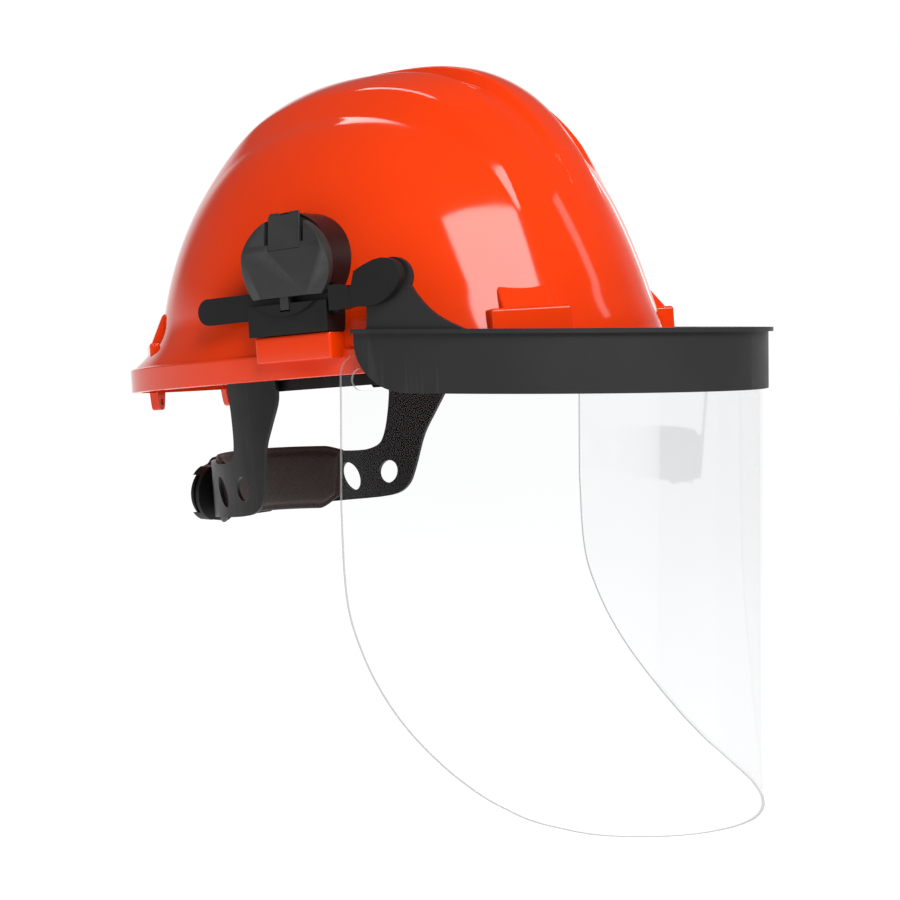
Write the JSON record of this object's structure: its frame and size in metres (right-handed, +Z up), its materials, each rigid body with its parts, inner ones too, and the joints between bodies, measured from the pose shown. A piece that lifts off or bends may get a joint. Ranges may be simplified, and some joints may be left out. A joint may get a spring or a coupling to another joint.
{
  "type": "hard hat with face shield",
  "caption": "Hard hat with crown ribs, head harness and ratchet, and a clear face shield that tilts up on side pods.",
  "frame": {"origin": "centre of the headband's opening, on the helmet's middle plane", "axes": "+Z up, -Y forwards to the face shield, +X to the wearer's left; stored level with the face shield down"},
  "size_m": [0.2366, 0.3561, 0.3614],
  "materials": {
    "shell_orange": "gloss",
    "guard_black": "satin",
    "visor_clear": "gloss",
    "pod_black": "satin",
    "harness_black": "satin",
    "ratchet_black": "matte",
    "pad_brown": "matte",
    "webbing_black": "matte",
    "stud_black": "satin",
    "pin_steel": "satin"
  },
  "bodies": {
    "helmet": {"shell": "shell_orange", "pod_base_right": "pod_black", "pod_base_left": "pod_black", "pod_cap_right": "pod_black", "pod_cap_left": "pod_black", "headband": "harness_black", "brow_pad": "pad_brown", "nape_pad": "pad_brown", "nape_strap_right": "harness_black", "nape_strap_left": "harness_black", "crown_strap_lower": "webbing_black", "crown_strap_upper": "webbing_black", "hanger_front_right": "harness_black", "hanger_front_left": "harness_black", "hanger_rear_right": "harness_black", "hanger_rear_left": "harness_black", "ratchet_housing": "ratchet_black", "ratchet_cover": "ratchet_black"},
    "carrier": {"carrier_arm_right": "pod_black", "carrier_arm_left": "pod_black", "pivot_pin_right": "pin_steel", "pivot_pin_left": "pin_steel", "friction_washer_right": "pin_steel", "friction_washer_left": "pin_steel"},
    "shield": {"brow_guard": "guard_black", "visor": "visor_clear", "visor_stud_right_rear": "stud_black", "visor_stud_left_rear": "stud_black", "visor_stud_right_front": "stud_black", "visor_stud_left_front": "stud_black", "visor_stud_centre": "stud_black"},
    "knob": {"ratchet_knob": "ratchet_black", "ratchet_pinion": "ratchet_black"},
    "rack_left": {"ratchet_rack_left": "ratchet_black"},
    "rack_right": {"ratchet_rack_right": "ratchet_black"},
    "latch_right": {"cap_latch_right": "pod_black"},
    "latch_left": {"cap_latch_left": "pod_black"}
  },
  "joints": [
    {"name": "carrier_slide", "type": "slide", "parent": "helmet", "child": "carrier", "axis": [0, -0.9971, 0.0767], "range_m": [0, 0.008]},
    {"name": "visor_tilt", "type": "hinge", "parent": "carrier", "child": "shield", "pos_m": [0, -0.0787, 0.0363], "axis": [-1, 0, 0], "range_deg": [0, 85]},
    {"name": "knob_turn", "type": "hinge", "parent": "helmet", "child": "knob", "pos_m": [0, 0.118, -0.077], "axis": [0, 1, 0], "range_deg": [-91.67, 91.67]},
    {"name": "rack_left_slide", "type": "slide", "parent": "helmet", "child": "rack_left", "axis": [1, 0, 0], "range_m": [-0.0081, 0.0081]},
    {"name": "rack_right_slide", "type": "slide", "parent": "helmet", "child": "rack_right", "axis": [1, 0, 0], "range_m": [-0.0081, 0.0081]},
    {"name": "cap_latch_right_press", "type": "hinge", "parent": "helmet", "child": "latch_right", "pos_m": [-0.1171, -0.01956, 0.0498], "axis": [0, 0.9971, -0.0767], "range_deg": [0, 5], "stiffness_Nm_per_rad": 0.05},
    {"name": "cap_latch_left_press", "type": "hinge", "parent": "helmet", "child": "latch_left", "pos_m": [0.1171, -0.01956, 0.0498], "axis": [0, -0.9971, 0.0767], "range_deg": [0, 5], "stiffness_Nm_per_rad": 0.05}
  ],
  "couplings": [
    {"joint": "rack_left_slide", "follows": "knob_turn", "m_per_rad": 0.005},
    {"joint": "rack_right_slide", "follows": "knob_turn", "m_per_rad": -0.005}
  ]
}
